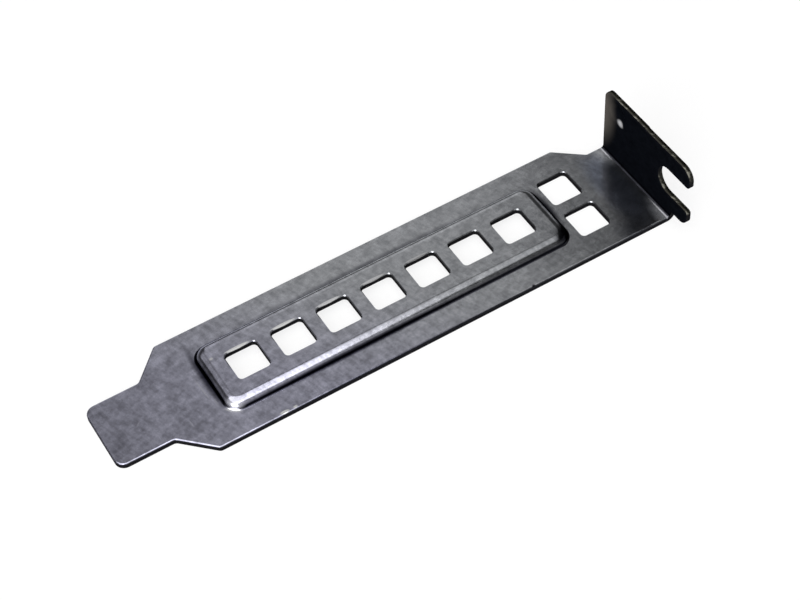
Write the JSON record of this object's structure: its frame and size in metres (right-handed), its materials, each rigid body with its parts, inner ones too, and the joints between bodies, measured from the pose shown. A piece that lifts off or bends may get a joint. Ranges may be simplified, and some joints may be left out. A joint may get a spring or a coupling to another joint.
{
  "type": "expansion slot cover bracket",
  "caption": "Low-profile slot cover: a folded steel strip with a raised, vented island, a tongue at one end and a screw-slotted flange at the other.",
  "frame": {"origin": "under the middle of the bounding box, on the blade's back face, where the part lies flat", "axes": "+X along the blade from the tongue to the flange, +Z out of the blade's front face, the way the island stands and the flange is folded, and +Y across the blade, away from the screw slot's mouth"},
  "size_m": [0.0796, 0.0216, 0.0116],
  "materials": {
    "zinc_plated_steel": "dull zinc plating on cold-rolled sheet, faintly mottled"
  },
  "bodies": {
    "root": {"slot_cover": "zinc_plated_steel"}
  },
  "joints": []
}
